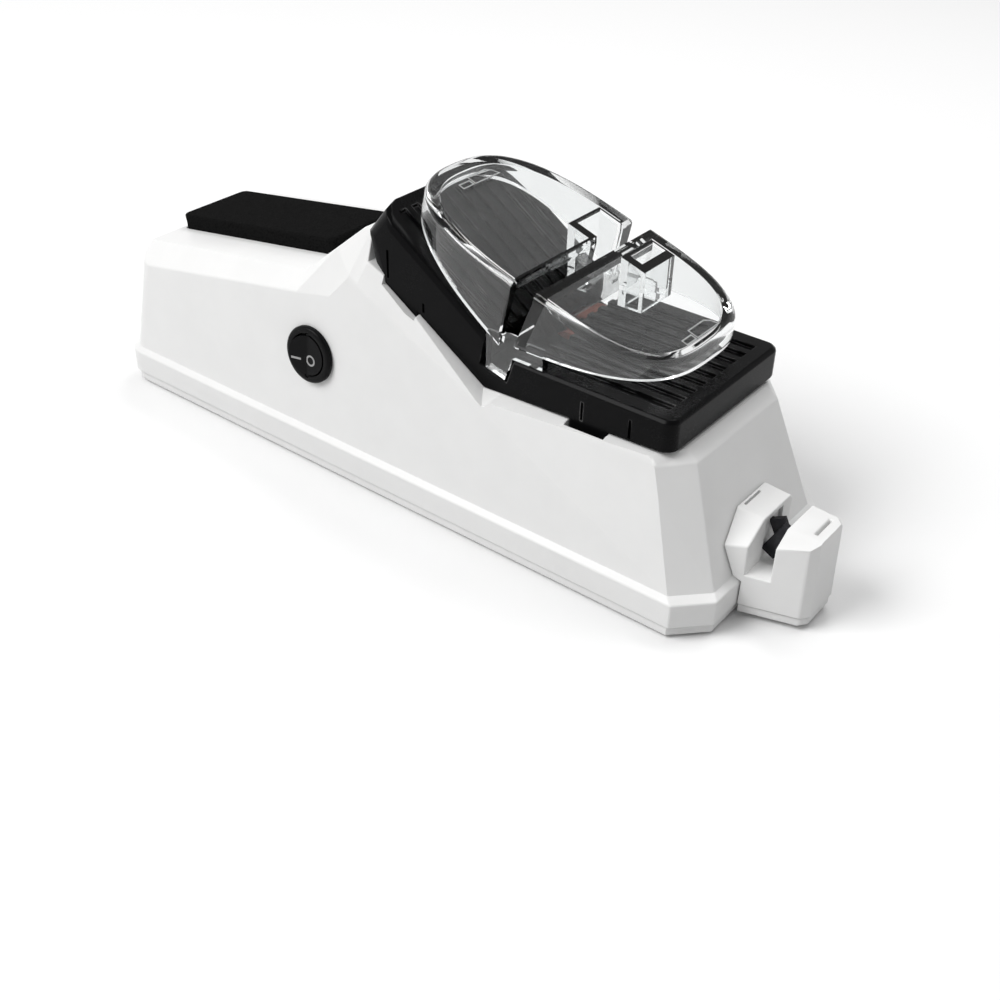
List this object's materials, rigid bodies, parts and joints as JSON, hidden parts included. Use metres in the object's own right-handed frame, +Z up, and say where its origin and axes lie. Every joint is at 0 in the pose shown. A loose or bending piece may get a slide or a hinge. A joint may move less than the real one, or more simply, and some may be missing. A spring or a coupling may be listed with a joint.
{
  "type": "electric knife sharpener",
  "caption": "Electric knife sharpener: long white housing, black two-slope blade table, clear guard, foam wiping pad, rocker switch and pull-through slot.",
  "frame": {"origin": "On the surface that the feet stand on, under the middle of the whole object", "axes": "+X towards the pull-through sharpener, +Y away from the switch, +Z up"},
  "size_m": [0.2486, 0.075, 0.0953],
  "materials": {
    "white_plastic": "white ABS, fine satin moulding",
    "black_gloss_plastic": "black ABS, polished mould, ribbed slopes",
    "clear_plastic": "clear polycarbonate, polished",
    "black_foam": "black fine-cell foam, matte",
    "black_satin_plastic": "black nylon, satin",
    "black_rubber": "black rubber, matte",
    "zinc_steel": "zinc plated steel",
    "motor_steel": "nickel plated steel",
    "magnet_ferrite": "dark grey sintered ferrite",
    "brass": "plain brass",
    "abrasive": "fine bonded abrasive",
    "carbide": "dark ground tungsten carbide",
    "lead_red": "red PVC insulation",
    "lead_black": "black PVC insulation"
  },
  "bodies": {
    "housing": {"upper_housing": "white_plastic", "base_plate": "white_plastic", "base_screw_rear_near": "zinc_steel", "base_screw_rear_far": "zinc_steel", "base_screw_front_near": "zinc_steel", "base_screw_front_far": "zinc_steel", "foot_rear_near": "black_rubber", "foot_rear_far": "black_rubber", "foot_front_near": "black_rubber", "foot_front_far": "black_rubber", "wiping_pad": "black_foam", "switch_body": "black_satin_plastic", "switch_terminal_supply": "brass", "switch_terminal_motor": "brass", "power_inlet": "black_satin_plastic", "motor_can": "motor_steel", "motor_magnets": "magnet_ferrite", "motor_end_cap": "black_satin_plastic", "motor_terminal_supply": "brass", "motor_terminal_return": "brass", "motor_strap": "zinc_steel", "strap_screw_rear": "zinc_steel", "strap_screw_front": "zinc_steel", "sharpener_block": "white_plastic", "sharpener_lid": "white_plastic", "sharpener_cartridge": "white_plastic", "sharpening_blade_near": "carbide", "sharpening_blade_far": "carbide", "block_screw_near": "zinc_steel", "block_screw_far": "zinc_steel", "lead_inlet_to_switch": "lead_red", "lead_switch_to_motor": "lead_red", "lead_inlet_to_motor": "lead_black"},
    "rocker": {"rocker_button": "black_satin_plastic"},
    "rotor": {"motor_shaft": "motor_steel", "motor_armature": "motor_steel", "wheel_hub": "brass", "grinding_wheel": "abrasive", "wheel_nut": "zinc_steel"},
    "table": {"angle_table": "black_gloss_plastic", "clear_guard": "clear_plastic"}
  },
  "joints": [
    {"name": "rocker_tilt", "type": "hinge", "parent": "housing", "child": "rocker", "pos_m": [-0.03565, -0.03455, 0.0384], "axis": [0, -0.0896, -0.996], "range_deg": [0, 16]},
    {"name": "rotor_spin", "type": "hinge", "parent": "housing", "child": "rotor", "pos_m": [0.03275, 0.0165, 0.0305], "axis": [0, 1, 0], "continuous": true},
    {"name": "table_lift", "type": "slide", "parent": "housing", "child": "table", "axis": [0, 0, 1], "range_m": [0, 0.05]}
  ]
}
